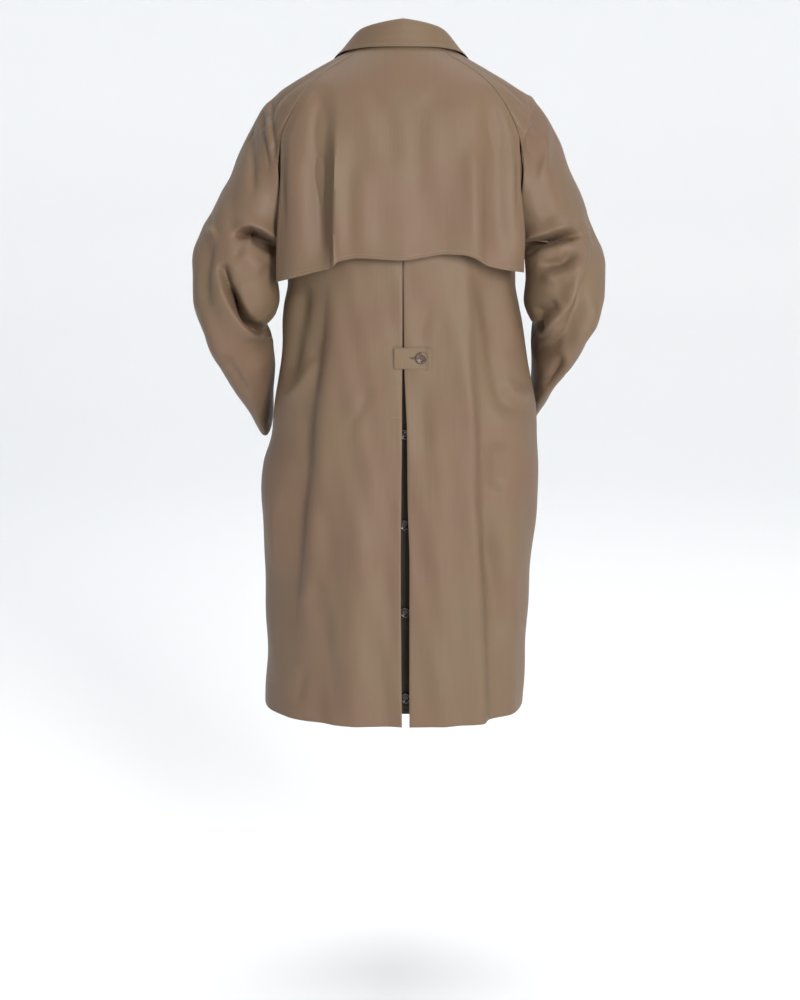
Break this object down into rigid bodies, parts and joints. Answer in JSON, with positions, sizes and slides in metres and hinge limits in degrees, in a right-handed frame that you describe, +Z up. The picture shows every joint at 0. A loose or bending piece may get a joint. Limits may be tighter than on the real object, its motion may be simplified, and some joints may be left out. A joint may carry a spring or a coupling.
{
  "type": "balmacaan coat",
  "caption": "Knee-length raglan-sleeved coat with a turn-down collar, loose back yoke, buttoned vent strap and deep centre back vent, in its filled-out form with both forearms forward",
  "frame": {"origin": "middle of the neck opening, level with the seam that joins the collar to the centre back", "axes": "+Z up along the coat, +X towards the coat's right side, +Y towards its front"},
  "size_m": [0.6575, 0.331, 1.1031],
  "materials": {
    "back_left": "fine twill with a slight sheen",
    "back_right": "fine twill with a slight sheen",
    "front_left": "fine twill with a slight sheen",
    "front_right": "fine twill with a slight sheen",
    "sleeve_left_back": "fine twill with a slight sheen",
    "sleeve_left_front": "fine twill with a slight sheen",
    "sleeve_right_back": "fine twill with a slight sheen",
    "sleeve_right_front": "fine twill with a slight sheen",
    "back_yoke": "fine twill with a slight sheen",
    "vent_underlay": "fine twill with a slight sheen",
    "vent_tab": "fine twill with a slight sheen",
    "collar_stand": "fine twill with a slight sheen",
    "collar_leaf": "fine twill with a slight sheen",
    "pocket_welt_left": "fine twill with a slight sheen",
    "pocket_welt_right": "fine twill with a slight sheen",
    "tab_button": "horn-like, half gloss",
    "vent_button_1": "horn-like, half gloss",
    "vent_button_2": "horn-like, half gloss",
    "vent_button_3": "horn-like, half gloss",
    "vent_button_4": "horn-like, half gloss"
  },
  "bodies": {
    "root": {"back_left": "back_left", "back_right": "back_right", "front_left": "front_left", "front_right": "front_right", "sleeve_left_back": "sleeve_left_back", "sleeve_left_front": "sleeve_left_front", "sleeve_right_back": "sleeve_right_back", "sleeve_right_front": "sleeve_right_front", "back_yoke": "back_yoke", "vent_underlay": "vent_underlay", "vent_tab": "vent_tab", "collar_stand": "collar_stand", "collar_leaf": "collar_leaf", "pocket_welt_left": "pocket_welt_left", "pocket_welt_right": "pocket_welt_right", "tab_button": "tab_button", "vent_button_1": "vent_button_1", "vent_button_2": "vent_button_2", "vent_button_3": "vent_button_3", "vent_button_4": "vent_button_4"}
  },
  "joints": []
}
